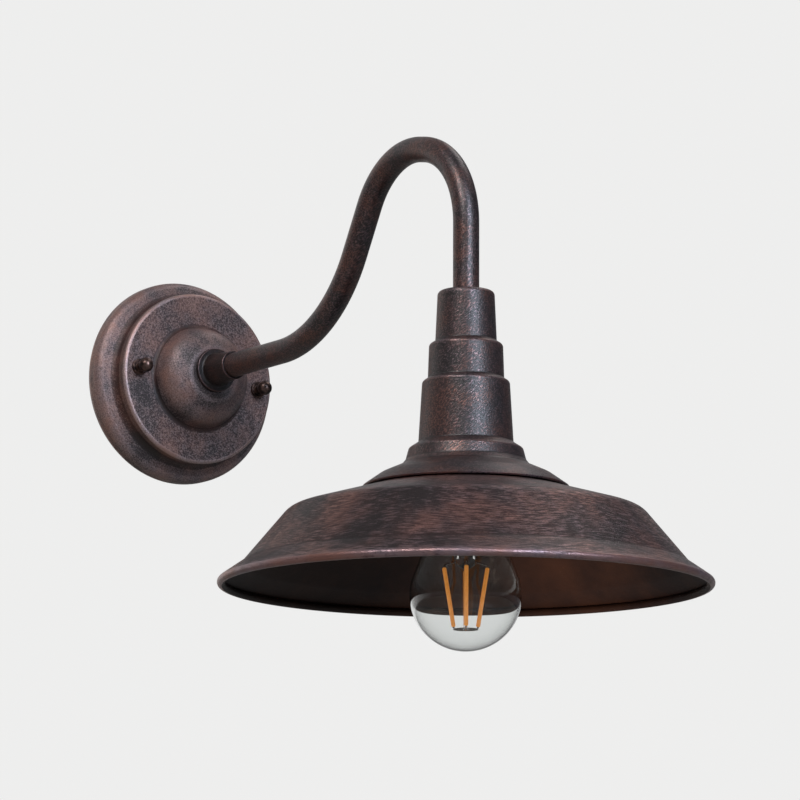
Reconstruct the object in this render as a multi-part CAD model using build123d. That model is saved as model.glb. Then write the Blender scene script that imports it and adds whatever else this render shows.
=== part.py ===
from build123d import *
import math
import os

# Gooseneck wall sconce, in millimetres, +Z up.
# The origin is at the centre of the wall bracket, on the wall. The room is towards -Y,
# and the arm lies in the plane x = 0. "depth" is the distance out from the wall.

# ---- fits ----
thread_gap = 0.05        # between a fixed male and female thread, on the radius
running_gap = 0.2        # between pieces that unscrew, on the radius
seat_gap = 0.1           # between pieces that are cemented or clipped
contact_gap = 0.2        # between the lamp's tip and the spring contact
past = 1.0               # how far a cut starts and ends outside what it cuts

# ---- overall ----
projection = 300.0       # wall to the axis of the shade
cup_top = 6.0            # height of the lampholder cup's top face, where the arm ends

# ---- wall bracket ----
bracket_width = 20.0
bracket_sheet = 1.5
bracket_flat = 32.0      # half length of the part that lies on the wall
bracket_half = 48.0      # half length over the raised ends
bracket_raise = 4.5      # how far the ends stand off the wall
bracket_bend_r = 2.0
joggle_run = 4.0
tongue_width = 18.0
tongue_top = 36.0
cable_hole_r = 5.0
wall_slot_spacing = 44.0
wall_slot_width = 4.5
wall_slot_length = 12.0
slot_sweep = 5.0         # half sweep of the curved slots for the canopy screws, degrees

# ---- canopy screws (M4) ----
screw_circle_r = 41.0
screw_turn = 3.5         # the pair of screws is turned this far clockwise, seen from the room
screw_r = 2.0
screw_hole_gap = 0.25
screw_head_r = 3.8
screw_head_height = 2.4
screw_nut_af = 7.0
screw_nut_height = 3.2
screw_reach = 7.5        # how far a screw stands out of the canopy's face
screw_point = 0.5        # chamfer on a screw's end

# ---- canopy ----
canopy_wall = 1.2
foot_r = 60.2
foot_depth = 12.5
foot_round = 6.0
foot_edge_r = 58.4       # the foot's edge is turned in where it meets the wall
foot_edge_depth = 0.8
foot_edge_round = 1.0
foot_tuck_depth = 3.2    # from the wall to where the foot has its full size
foot_tuck_round = 5.0
cove_r = 49.4
cove_depth = 17.0
cove_round = 4.5
face_r = 51.0
face_depth = 28.3
face_round = 1.9
dome_r = 30.5
dome_shoulder_r = 27.0
dome_shoulder_depth = 41.0
dome_flat_r = 16.0
dome_depth = 46.5
dome_root_round = 2.5
dome_round = 12.0
dome_top_round = 6.0

# ---- ball nuts ----
nut_base_r = 4.8
nut_base_height = 1.8
nut_neck_r = 2.9
nut_ball_r = 4.3
nut_ball_height = 8.2    # from the canopy's face to the ball's centre

# ---- arm ----
arm_height = 2.0         # the arm leaves the dome this far above the canopy's centre
tube_r = 7.0
first_turn = 60.0
first_bend_r = 85.0
riser = 29.7             # straight run between the first and the second bend
second_turn = 72.0
second_bend_r = 46.0
bridge = 4.0             # short straight run over the top
third_bend_r = 49.0
collar_flange_r = 12.9
collar_flange_height = 2.4
collar_root_r = 9.6
collar_end_r = 8.1
collar_length = 21.5
collar_seat = 4.0        # depth of the collar's floor, which the tube's end stands on
collar_bead_r = 8.4
collar_bead_width = 1.6
collar_bead_round = 0.4
collar_root_round = 1.2

# ---- threaded nipples (M10 x 1), washers and locknuts ----
nipple_r = 5.0
nipple_bore_r = 3.75
nipple_grip = 12.0       # length screwed into the tube's end
nipple_tail = 4.0        # length that stands out behind the arm's locknut
washer_r = 9.0
washer_height = 1.2
locknut_af = 14.0
locknut_height = 4.0

# ---- lampholder cup (height of each step, radius above and below it) ----
cup_wall = 2.0
cup_shoulder_r = 15.1
cup_round = 2.5
step_edge_round = 1.2    # above the sloping face of a step
step_foot_round = 2.2    # below it
step_1_z = -21.0
step_1_upper_r = 16.3
step_1_lower_r = 19.6
step_2_z = -41.0
step_2_upper_r = 20.2
step_2_lower_r = 23.2
step_drop = 2.1          # height of the sloping face of a step
step_3_z = -75.4
step_3_upper_r = 25.1
bead_top_r = 30.2
bead_top_z = -78.7
bead_foot_r = 31.8
bead_foot_z = -84.8
bead_round = 2.0
flare_root_r = 34.0
flare_root_z = -87.6
flare_root_round = 3.0
flare_mid_r = 45.0
flare_mid_z = -92.4
flare_round = 12.0
flare_edge_r = 54.5
flare_edge_height = 1.2
flare_gap = 0.8          # open gap between the flare's edge and the shade

# ---- shade ----
shade_sheet = 1.0
shade_r = 130.0
shade_seat_z = -94.0
shade_seat_r = 29.5
seat_round = 4.0
shoulder_z = -112.0
shoulder_round = 11.0
skirt_run = 23.7         # from the shoulder out to the skirt's foot
skirt_z = -140.4
skirt_round = 6.0
rim_run = 12.8           # from the skirt's foot out to the shade's edge
lip_bead_r = 2.2
lip_z = -150.4

# ---- E27 lampholder ----
holder_thread_r = 19.75
holder_bore_r = 17.1
holder_neck_r = 17.9
holder_flange_r = 25.0
holder_flange_height = 2.5
holder_tail = 13.0       # from the shade's seat to the open end
holder_neck_top = -66.0
holder_cap_top = -48.0
holder_cap_r = 19.4
holder_cap_wall = 1.2
holder_cap_skirt = 25.0
holder_cap_round = 4.0
bush_r = 7.0
bush_height = 6.0
core_top = -62.5
core_bottom = -80.6
core_recess_r = 10.5
core_recess_height = 4.0
core_round = 1.0
ledge_r = 15.2
ledge_height = 1.5
shell_sheet = 0.4
shell_length = 22.9
terminal_circle_r = 7.5
terminal_size = 4.6
terminal_height = 4.0
terminal_screw_r = 1.5
terminal_screw_height = 1.2
contact_sheet = 0.5
contact_width = 5.0
contact_root = 9.0       # the leaf's points, from the lamp's axis
contact_knee = 4.5
contact_heel = 2.5
contact_toe = 3.5
ring_flange_r = 28.5
ring_flange_height = 2.0
ring_grip_r = 25.5
ring_height = 8.0
ring_ribs = 18
ring_groove_r = 1.3

# ---- lamp (A60 glass on an E27 cap) ----
lamp_tip_z = -78.0
lamp_length = 107.5
glass_r = 29.5
glass_wall = 0.8
glass_neck_r = 12.3
glass_neck_length = 20.0  # from the lamp's tip to the glass rim inside the cap
neck_clear = 1.5          # from the cap's open end to where the neck starts to spread
throat_length = 6.0
throat_spread = 2.0
neck_round = 20.0
throat_round = 25.0
cap_rim = 26.5            # from the lamp's tip to the cap's open end
cap_shoulder = 6.5        # from the lamp's tip to the top of the threaded part
cap_throat = 4.5          # from the lamp's tip to the top of the metal cap
cap_r = 13.05
cap_sheet = 0.3
cap_round = 1.0
insulator_r = 10.3
insulator_top_r = 5.0
insulator_rim = 0.2
insulator_root = 0.8       # depth of the insulator inside the cap's throat
tip_r = 4.75
tip_height = 1.6
stem_flare_r = 11.4
stem_flare_height = 1.2
stem_lap = 0.5            # length of the stem's flare inside the cap
stem_taper = 13.0
stem_r = 4.2
stem_rod_r = 1.1
stem_bead_r = 5.2
stem_bead_half = 1.5
stem_bead_rise = 5.0      # from the bead's middle up to the plain stem
stem_bead_fall = 4.0      # and down to the thin rod
stem_bead_lift = 2.5      # bead's middle above the filaments' upper ends
filament_count = 4
filament_r = 1.1
filament_top_r = 11.4
filament_foot_r = 6.3
filament_length = 31.5    # height that a filament spans
filament_clear = 12.5     # from the filaments' lower ends down to the glass's crown
filament_turn = -34.0     # angle of the first filament round the lamp's axis
support_wire_r = 0.3
support_lift = 0.4        # arms end this far above the filaments
ring_drop = 1.6           # from the filaments' lower ends to the end of the rod

# ---- wiring ----
wire_r = 0.95
wire_pitch = 2.1
block_width = 22.0
block_height = 18.0
block_depth = 12.0
block_bottom = 14.0
block_pitch = 6.5
block_round = 1.5
block_screw_r = 1.5
block_screw_recess = 3.0
block_screw_head_height = 1.8
block_screw_point = 0.3   # from the wall to the screw's end
wire_drop = 4.5           # straight length below the block
wire_entry = 9.0          # from the block to where the wires gather
wire_drop_r = 3.0
wire_entry_r = 5.0
wire_turn_r = 3.0         # bend where the wires spread inside the lampholder
wire_end_r = 2.0
wire_end_run = 3.0
wire_room = 1.0           # from the lampholder's cap to that bend
earth_screw_x = 12.5
earth_screw_head_r = 3.6
earth_screw_head_height = 2.2
earth_screw_length = 5.0
link_offset = 2.6         # from the right-hand terminal to the earth link
link_depth = 3.0
link_run = 4.0
link_bend_r = 2.0


# ---- helpers ----
def sheet_outline(points, radii, sheet):
    """A strip of even thickness on the right of a line with rounded corners."""
    line = FilletPolyline(*points, radius=radii)
    return make_face(offset(line, amount=sheet, side=Side.RIGHT, closed=True))


def turned_from_wall(face):
    """A face drawn as (radius, -depth), turned about the arm's first axis."""
    return revolve(face, Axis.Y)


def turned_on_lamp_axis(face):
    """A face drawn as (radius, height), turned about the shade's upright axis."""
    return Pos(0, -projection, 0) * revolve(Plane.XZ * face, Axis.Z)


def rod_from_wall(radius, near, far, x=0.0, z=0.0):
    """A round bar along the depth direction, from one depth to another."""
    plane = Plane(origin=(x, -near, z), z_dir=(0, -1, 0))
    return extrude(plane * Circle(radius), far - near)


def hexagon_from_wall(across_flats, near, far, x=0.0, z=0.0):
    plane = Plane(origin=(x, -near, z), z_dir=(0, -1, 0))
    return extrude(plane * RegularPolygon(across_flats / 2, 6, major_radius=False), far - near)


def rod_on_arm_axis(radius, near, far):
    return rod_from_wall(radius, near, far, 0, arm_height)


def rod_on_lamp_axis(radius, top, bottom):
    plane = Plane(origin=(0, -projection, bottom))
    return extrude(plane * Circle(radius), top - bottom)


def screw_place(side):
    """Where a canopy screw stands: side is -1 on the left and 1 on the right."""
    turn = math.radians(screw_turn)
    return side * screw_circle_r * math.cos(turn), -side * screw_circle_r * math.sin(turn)


def polar(radius, degrees):
    angle = math.radians(degrees)
    return radius * math.cos(angle), radius * math.sin(angle)


# ---- wall fixing ----
screw_seat = bracket_raise + bracket_sheet    # depth of the raised ends' front face
screw_end = face_depth + screw_reach


def curved_slot(side):
    """An arc slot round the bracket's centre, so that the canopy can be turned level."""
    middle = math.degrees(math.atan2(screw_place(side)[1], screw_place(side)[0]))
    ends = [polar(screw_circle_r, middle + step * slot_sweep) for step in (-1, 0, 1)]
    half_width = screw_r + screw_hole_gap
    arc = ThreePointArc(*ends)
    strip = make_face(offset(arc, amount=half_width, side=Side.BOTH))
    plane = Plane(origin=(0, 0, 0), x_dir=(1, 0, 0), z_dir=(0, -1, 0))
    return extrude(plane * strip, screw_seat + bracket_sheet)


def make_bracket():
    wall_side = [
        (-bracket_half, -bracket_raise),
        (-bracket_flat - joggle_run, -bracket_raise),
        (-bracket_flat, 0),
        (bracket_flat, 0),
        (bracket_flat + joggle_run, -bracket_raise),
        (bracket_half, -bracket_raise),
    ]
    strip = sheet_outline(wall_side, bracket_bend_r, bracket_sheet)
    strap = extrude(Pos(0, 0, -bracket_width / 2) * strip, bracket_width)
    tongue_height = tongue_top - bracket_width / 2
    tongue = Pos(0, -bracket_sheet / 2, bracket_width / 2 + tongue_height / 2) * Box(
        tongue_width, bracket_sheet, tongue_height
    )
    bracket = strap + tongue
    bracket -= rod_from_wall(cable_hole_r, -past, bracket_sheet + past)
    wall_plane = Plane(origin=(0, past, 0), x_dir=(1, 0, 0), z_dir=(0, -1, 0))
    for side in (-1, 1):
        slot = SlotOverall(wall_slot_length, wall_slot_width)
        place = Pos(side * wall_slot_spacing / 2, 0)
        bracket -= extrude(wall_plane * place * slot, bracket_sheet + past * 2)
        bracket -= curved_slot(side)
    bracket -= rod_from_wall(screw_r + thread_gap, -past, bracket_sheet + past, earth_screw_x)
    bore = block_screw_r + thread_gap
    return bracket - rod_from_wall(bore, -past, bracket_sheet + past, 0, block_screw_z)


def make_canopy_screw(side):
    x, z = screw_place(side)
    shank = rod_from_wall(screw_r, bracket_raise, screw_end, x, z)
    shank = chamfer(shank.faces().sort_by(Axis.Y)[0].edges(), screw_point)
    head = rod_from_wall(screw_head_r, bracket_raise - screw_head_height, bracket_raise, x, z)
    head = fillet(head.faces().sort_by(Axis.Y)[-1].edges(), screw_head_height / 3)
    return head + shank


def make_screw_nut(side):
    x, z = screw_place(side)
    nut = hexagon_from_wall(screw_nut_af, screw_seat, screw_seat + screw_nut_height, x, z)
    return nut - rod_from_wall(screw_r + thread_gap, 0, screw_end, x, z)


def make_earth_screw():
    top = bracket_sheet + wire_r * 2
    head = rod_from_wall(earth_screw_head_r, top, top + earth_screw_head_height, earth_screw_x)
    head = fillet(head.faces().sort_by(Axis.Y)[0].edges(), earth_screw_head_height / 3)
    shank = rod_from_wall(screw_r, top + earth_screw_head_height - earth_screw_length, top, earth_screw_x)
    return head + shank


# ---- canopy and its nuts ----
def make_canopy():
    outside = [
        (foot_edge_r, 0),
        (foot_edge_r, -foot_edge_depth),
        (foot_r, -foot_tuck_depth),
        (foot_r, -foot_depth),
        (cove_r, -cove_depth),
        (face_r, -face_depth),
        (dome_r, -face_depth),
        (dome_shoulder_r, -dome_shoulder_depth),
        (dome_flat_r, -dome_depth),
        (0, -dome_depth),
    ]
    rounds = [foot_edge_round, foot_tuck_round, foot_round, cove_round, face_round]
    rounds += [dome_root_round, dome_round, dome_top_round]
    canopy = turned_from_wall(sheet_outline(outside, rounds, canopy_wall))
    canopy -= rod_on_arm_axis(nipple_r + screw_hole_gap, face_depth, dome_depth + past)
    for side in (-1, 1):
        x, z = screw_place(side)
        canopy -= rod_from_wall(screw_r + screw_hole_gap, foot_depth, screw_end, x, z)
    return canopy


def make_ball_nut(side):
    x, z = screw_place(side)
    base = rod_from_wall(nut_base_r, face_depth, face_depth + nut_base_height, x, z)
    base = fillet(base.faces().sort_by(Axis.Y)[0].edges(), nut_base_height / 3)
    neck = rod_from_wall(nut_neck_r, face_depth, face_depth + nut_ball_height, x, z)
    ball = Pos(x, -face_depth - nut_ball_height, z) * Sphere(nut_ball_r)
    hole = rod_from_wall(screw_r + running_gap, face_depth - past, screw_end + past, x, z)
    return base + neck + ball - hole


# ---- arm ----
arm_start = dome_depth + collar_seat


def arm_corners():
    """Corners of the arm's centre line as (depth, height), from the wall to the cup."""
    rise = math.radians(first_turn)
    fall = math.radians(second_turn - first_turn)
    third_turn = math.pi / 2 - fall
    first_leg = first_bend_r * math.tan(rise / 2)
    second_leg = second_bend_r * math.tan(math.radians(second_turn) / 2)
    third_leg = third_bend_r * math.tan(third_turn / 2)
    slope_run = first_leg + riser + second_leg
    top_run = second_leg + bridge + third_leg
    first = projection - slope_run * math.cos(rise) - top_run * math.cos(fall)
    second = (first + slope_run * math.cos(rise), arm_height + slope_run * math.sin(rise))
    third = (projection, second[1] - top_run * math.sin(fall))
    return [(first, arm_height), second, third]


bend_radii = [first_bend_r, second_bend_r, third_bend_r]


def make_tube():
    points = [(arm_start, arm_height)] + arm_corners() + [(projection, cup_top)]
    path = FilletPolyline(*[(0, -depth, z) for depth, z in points], radius=bend_radii)
    section = Plane(origin=(0, -arm_start, arm_height), z_dir=(0, -1, 0)) * (
        Circle(tube_r) - Circle(nipple_r + thread_gap)
    )
    return sweep(section, path=path)


def make_collar():
    bore = tube_r + thread_gap
    flange_top = dome_depth + collar_flange_height
    end = dome_depth + collar_length
    outside = [
        (bore, -dome_depth),
        (collar_flange_r, -dome_depth),
        (collar_flange_r, -flange_top),
        (collar_root_r, -flange_top),
        (collar_end_r, -end + collar_bead_width),
        (collar_bead_r, -end + collar_bead_width),
        (collar_bead_r, -end),
        (bore, -end),
    ]
    edge = collar_bead_round
    rounds = [0, 0, edge, collar_root_round, 0, edge / 2, edge, 0]
    ring = turned_from_wall(make_face(FilletPolyline(*outside, radius=rounds, close=True)))
    collar = Pos(0, 0, arm_height) * ring + rod_on_arm_axis(bore, dome_depth, arm_start)
    return collar - rod_on_arm_axis(nipple_r + thread_gap, 0, arm_start + past)


def make_arm_fixings():
    """The nipple, washer and locknut that hold the arm to the canopy's dome."""
    inside = dome_depth - canopy_wall
    nut_face = inside - washer_height
    tail = nut_face - locknut_height - nipple_tail
    bore = rod_on_arm_axis(nipple_bore_r, tail - past, arm_start + nipple_grip + past)
    nipple = rod_on_arm_axis(nipple_r, tail, arm_start + nipple_grip) - bore
    clear = rod_on_arm_axis(nipple_r + thread_gap, tail - past, dome_depth)
    washer = rod_on_arm_axis(washer_r, nut_face, inside) - clear
    flats = hexagon_from_wall(locknut_af, nut_face - locknut_height, nut_face, 0, arm_height)
    return nipple, washer, flats - clear


# ---- lampholder cup ----
skirt_r = shade_r - rim_run
shoulder_r = skirt_r - skirt_run


def shade_top_at(radius):
    """Height of the shade's outer face on its shallow top."""
    fall = (shoulder_z - shade_seat_z) / (shoulder_r - shade_seat_r)
    return shade_seat_z + fall * (radius - shade_seat_r)


def make_cup():
    trim = shade_top_at(flare_edge_r) + flare_gap
    outside = [
        (nipple_r + screw_hole_gap, cup_top),
        (cup_shoulder_r, cup_top),
        (step_1_upper_r, step_1_z),
        (step_1_lower_r, step_1_z - step_drop),
        (step_2_upper_r, step_2_z),
        (step_2_lower_r, step_2_z - step_drop),
        (step_3_upper_r, step_3_z),
        (bead_top_r, bead_top_z),
        (bead_foot_r, bead_foot_z),
        (flare_root_r, flare_root_z),
        (flare_mid_r, flare_mid_z),
        (flare_edge_r, trim + flare_edge_height),
    ]
    rounds = [cup_round] + [step_edge_round, step_foot_round] * 3
    rounds += [bead_round, flare_root_round, flare_round]
    face = sheet_outline(outside, rounds, cup_wall)
    below = Pos(0, trim - flare_edge_r) * Rectangle(flare_edge_r * 4, flare_edge_r * 2)
    return turned_on_lamp_axis(face - below)


def make_cup_fixings():
    """The long nipple, washer and locknut that hold the cup and the lampholder to the arm."""
    inside = cup_top - cup_wall
    nut_face = inside - washer_height
    bottom = holder_cap_top - holder_cap_wall + seat_gap
    bore = rod_on_lamp_axis(nipple_bore_r, cup_top + nipple_grip + past, bottom - past)
    nipple = rod_on_lamp_axis(nipple_r, cup_top + nipple_grip, bottom) - bore
    clear = rod_on_lamp_axis(nipple_r + thread_gap, cup_top + past, bottom)
    washer = rod_on_lamp_axis(washer_r, inside, nut_face) - clear
    plane = Plane(origin=(0, -projection, nut_face - locknut_height))
    flats = RegularPolygon(locknut_af / 2, 6, major_radius=False)
    locknut = extrude(plane * flats, locknut_height) - clear
    return nipple, washer, locknut


# ---- lampholder ----
def make_holder_cap():
    bottom = holder_cap_top - holder_cap_skirt
    outside = [
        (nipple_r + thread_gap, holder_cap_top),
        (holder_cap_r, holder_cap_top),
        (holder_cap_r, bottom),
    ]
    cap = turned_on_lamp_axis(sheet_outline(outside, holder_cap_round, holder_cap_wall))
    bush = rod_on_lamp_axis(bush_r, holder_cap_top + bush_height, holder_cap_top)
    bush -= rod_on_lamp_axis(nipple_r + thread_gap, holder_cap_top + bush_height, holder_cap_top)
    return cap + bush


def make_holder_skirt():
    body_top = holder_cap_top - holder_cap_skirt - seat_gap
    flange_top = shade_seat_z + holder_flange_height
    ledge_top = core_bottom
    outline = [
        (holder_bore_r, holder_neck_top),
        (holder_neck_r, holder_neck_top),
        (holder_neck_r, body_top),
        (holder_thread_r, body_top),
        (holder_thread_r, flange_top),
        (holder_flange_r, flange_top),
        (holder_flange_r, shade_seat_z),
        (holder_thread_r, shade_seat_z),
        (holder_thread_r, shade_seat_z - holder_tail),
        (holder_bore_r, shade_seat_z - holder_tail),
        (holder_bore_r, ledge_top - ledge_height),
        (ledge_r, ledge_top - ledge_height),
        (ledge_r, ledge_top),
        (holder_bore_r, ledge_top),
    ]
    return turned_on_lamp_axis(make_face(Polyline(*outline, close=True)))


def make_holder_core():
    core = rod_on_lamp_axis(holder_bore_r - seat_gap, core_top, core_bottom)
    core = fillet(core.faces().sort_by(Axis.Z)[-1].edges(), core_round)
    return core - rod_on_lamp_axis(core_recess_r, core_bottom + core_recess_height, core_bottom)


def make_screw_shell():
    inner = cap_r + running_gap
    outside = [
        (core_recess_r, core_bottom),
        (inner + shell_sheet, core_bottom),
        (inner + shell_sheet, core_bottom - shell_length),
    ]
    return turned_on_lamp_axis(sheet_outline(outside, shell_sheet * 1.5, shell_sheet))


def make_centre_contact():
    """A bent spring leaf, fixed in the core's recess, that touches the lamp's tip."""
    roof = core_bottom + core_recess_height
    low = lamp_tip_z + contact_gap + contact_sheet
    line = [(-contact_root, roof), (-contact_knee, roof), (-contact_heel, low), (contact_toe, low)]
    strip = sheet_outline(line, contact_sheet * 1.5, contact_sheet)
    leaf = extrude(Plane.XZ * strip, contact_width / 2, both=True)
    return Pos(0, -projection, 0) * leaf


def terminal_place(index):
    """Live is on the left, neutral on the right, and earth towards the wall."""
    return polar(terminal_circle_r, (180, 0, 90)[index])


def make_terminal(index):
    x, y = terminal_place(index)
    middle = core_top + terminal_height / 2
    post = Box(terminal_size, terminal_size, terminal_height)
    head = Rot(90, 0, 0) * Cylinder(terminal_screw_r, terminal_screw_height)
    head = Pos(0, (terminal_size + terminal_screw_height) / 2, 0) * head
    outward = {0: 90, 1: -90, 2: 0}[index]
    return Pos(x, y - projection, middle) * Rot(0, 0, outward) * (post + head)


def make_shade_ring():
    bore = holder_thread_r + running_gap
    top = shade_seat_z - shade_sheet
    flange = rod_on_lamp_axis(ring_flange_r, top, top - ring_flange_height)
    grip = rod_on_lamp_axis(ring_grip_r, top - ring_flange_height, top - ring_height)
    for index in range(ring_ribs):
        x, y = polar(ring_grip_r + ring_groove_r / 2, index * 360 / ring_ribs)
        plane = Plane(origin=(x, y - projection, top - ring_height))
        grip -= extrude(plane * Circle(ring_groove_r), ring_height - ring_flange_height)
    return flange + grip - rod_on_lamp_axis(bore, top + past, top - ring_height - past)


# ---- shade ----
def make_shade():
    lip_r = shade_r - lip_bead_r
    outside = [
        (holder_thread_r + screw_hole_gap, shade_seat_z),
        (shade_seat_r, shade_seat_z),
        (shoulder_r, shoulder_z),
        (skirt_r, skirt_z),
        (lip_r, lip_z + lip_bead_r),
    ]
    rounds = [seat_round, shoulder_round, skirt_round]
    sheet = sheet_outline(outside, rounds, shade_sheet)
    bead = Pos(lip_r, lip_z) * Circle(lip_bead_r)
    return turned_on_lamp_axis(sheet + bead)


# ---- lamp ----
def below_tip(distance):
    return lamp_tip_z - distance


glass_centre = below_tip(lamp_length - glass_r)


def make_glass():
    neck = (cap_r - cap_sheet - seat_gap, below_tip(cap_rim + neck_clear))
    throat = (neck[0] + throat_spread, neck[1] - throat_length)
    reach = math.hypot(throat[0], throat[1] - glass_centre)
    bearing = math.atan2(throat[1] - glass_centre, throat[0])
    touch = bearing - math.acos(glass_r / reach)

    def on_ball(angle):
        return glass_r * math.cos(angle), glass_centre + glass_r * math.sin(angle)

    rim = (glass_neck_r, below_tip(glass_neck_length))
    cone = FilletPolyline(rim, neck, throat, on_ball(touch), radius=[neck_round, throat_round])
    crown = -math.pi / 2
    ball = ThreePointArc(on_ball(touch), on_ball((touch + crown) / 2), on_ball(crown))
    strip = offset(Wire([*cone.edges(), *ball.edges()]), glass_wall, side=Side.RIGHT, closed=True)
    return turned_on_lamp_axis(make_face(strip))


def make_cap():
    outside = [
        (insulator_r, below_tip(cap_throat)),
        (cap_r, below_tip(cap_shoulder)),
        (cap_r, below_tip(cap_rim)),
    ]
    return turned_on_lamp_axis(sheet_outline(outside, cap_round, cap_sheet))


def make_insulator():
    throat = insulator_r - cap_sheet * 2
    outline = [
        (0, below_tip(tip_height)),
        (insulator_top_r, below_tip(tip_height)),
        (insulator_r, below_tip(cap_throat - insulator_rim)),
        (insulator_r, below_tip(cap_throat)),
        (throat, below_tip(cap_throat)),
        (throat, below_tip(cap_throat + insulator_root)),
        (0, below_tip(cap_throat + insulator_root)),
    ]
    return turned_on_lamp_axis(make_face(Polyline(*outline, close=True)))


def make_tip():
    tip = rod_on_lamp_axis(tip_r, lamp_tip_z, below_tip(tip_height))
    return fillet(tip.faces().sort_by(Axis.Z)[-1].edges(), tip_height / 2)


filament_top = lamp_length - filament_clear - filament_length
stem_bead_z = below_tip(filament_top - stem_bead_lift)
ring_z = below_tip(filament_top + filament_length + ring_drop)


def make_stem():
    flare_z = below_tip(cap_rim - stem_lap)
    outline = [
        (0, flare_z),
        (stem_flare_r, flare_z),
        (stem_flare_r, flare_z - stem_flare_height),
        (stem_r, flare_z - stem_taper),
        (stem_r, stem_bead_z + stem_bead_rise),
        (stem_bead_r, stem_bead_z + stem_bead_half),
        (stem_bead_r, stem_bead_z - stem_bead_half),
        (stem_rod_r, stem_bead_z - stem_bead_fall),
        (stem_rod_r, ring_z),
        (0, ring_z),
    ]
    return turned_on_lamp_axis(make_face(Polyline(*outline, close=True)))


def lamp_point(radius, degrees, z):
    x, y = polar(radius, degrees)
    return Vector(x, y - projection, z)


def bar(start, end, radius):
    plane = Plane(origin=start, z_dir=end - start)
    return extrude(plane * Circle(radius), (end - start).length)


def filament_ends(index):
    degrees = filament_turn + index * 360 / filament_count
    top = lamp_point(filament_top_r, degrees, below_tip(filament_top))
    foot = lamp_point(filament_foot_r, degrees, below_tip(filament_top + filament_length))
    return top, foot


def make_filaments():
    return [bar(*filament_ends(index), filament_r) for index in range(filament_count)]


def make_filament_wires():
    """Upper arms from the stem's bead, and the lower ring with its spokes to the rod."""
    wires = []
    ring_plane = Plane(origin=(0, -projection, ring_z + support_wire_r * 2))
    ring = ring_plane * Torus(filament_foot_r, support_wire_r)
    for index in range(filament_count):
        degrees = filament_turn + index * 360 / filament_count
        start = lamp_point(stem_bead_r + seat_gap, degrees, stem_bead_z)
        arm_end = below_tip(filament_top) + support_wire_r + support_lift
        end = lamp_point(filament_top_r, degrees, arm_end)
        wires.append(bar(start, end, support_wire_r))
        inner = lamp_point(stem_rod_r + seat_gap, degrees, ring_z + support_wire_r * 2)
        outer = lamp_point(filament_foot_r, degrees, ring_z + support_wire_r * 2)
        ring = ring + bar(inner, outer, support_wire_r)
    return wires + [ring]


# ---- wiring ----
block_front = bracket_sheet + block_depth
block_screw_seat = block_front - block_screw_recess
block_screw_z = block_bottom + block_height / 2


def make_block():
    middle = (0, -bracket_sheet - block_depth / 2, block_screw_z)
    block = Pos(*middle) * Box(block_width, block_depth, block_height)
    block = fillet(block.edges().filter_by(Axis.Z), block_round)
    bore = block_screw_r + screw_hole_gap
    counterbore = block_screw_r * 2 + screw_hole_gap
    block -= rod_from_wall(bore, 0, block_front + past, 0, block_screw_z)
    return block - rod_from_wall(counterbore, block_screw_seat, block_front + past, 0, block_screw_z)


def make_block_screw():
    head_top = block_screw_seat + block_screw_head_height
    shank = rod_from_wall(block_screw_r, block_screw_point, block_screw_seat, 0, block_screw_z)
    return shank + rod_from_wall(block_screw_r * 2, block_screw_seat, head_top, 0, block_screw_z)


def make_wire(index):
    """One of the three wires, from the terminal block through the arm to its terminal."""
    block_x = (index - 1) * block_pitch
    x = (index - 1) * wire_pitch
    target = terminal_place((0, 2, 1)[index])
    depth = bracket_sheet + block_depth / 2
    holder_turn = holder_cap_top - holder_cap_wall - wire_room
    wire_end = core_top + terminal_height
    points = [(block_x, depth, block_bottom), (block_x, depth, block_bottom - wire_drop)]
    points += [(x, depth + wire_entry, arm_height)]
    points += [(x, corner_depth, z) for corner_depth, z in arm_corners()]
    points += [(x, projection, holder_turn)]
    points += [(target[0], projection - target[1], wire_end + wire_end_run)]
    points += [(target[0], projection - target[1], wire_end)]
    radii = [wire_drop_r, wire_entry_r] + bend_radii + [wire_turn_r, wire_end_r]
    path = FilletPolyline(*[(px, -pd, pz) for px, pd, pz in points], radius=radii)
    section = Plane(origin=(block_x, -depth, block_bottom), z_dir=(0, 0, -1)) * Circle(wire_r)
    return sweep(section, path=path)


def make_earth_link():
    """The short lead from the block to the bracket's earth screw, ending in a bent eye."""
    x = block_pitch + link_offset
    depth = bracket_sheet + link_depth
    low = bracket_sheet + wire_r
    eye_r = screw_r + running_gap + wire_r
    points = [
        (x, depth, block_bottom),
        (x, depth, block_bottom - wire_drop),
        (earth_screw_x, low, eye_r + link_run),
        (earth_screw_x, low, eye_r),
    ]
    path = FilletPolyline(*[(px, -pd, pz) for px, pd, pz in points], radius=link_bend_r)
    section = Plane(origin=(x, -depth, block_bottom), z_dir=(0, 0, -1)) * Circle(wire_r)
    eye_plane = Plane(origin=(earth_screw_x, -low, 0), z_dir=(0, -1, 0))
    return sweep(section, path=path) + eye_plane * Torus(eye_r, wire_r)


# ---- assembly ----
arm_nipple, arm_washer, arm_locknut = make_arm_fixings()
cup_nipple, cup_washer, cup_locknut = make_cup_fixings()

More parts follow.
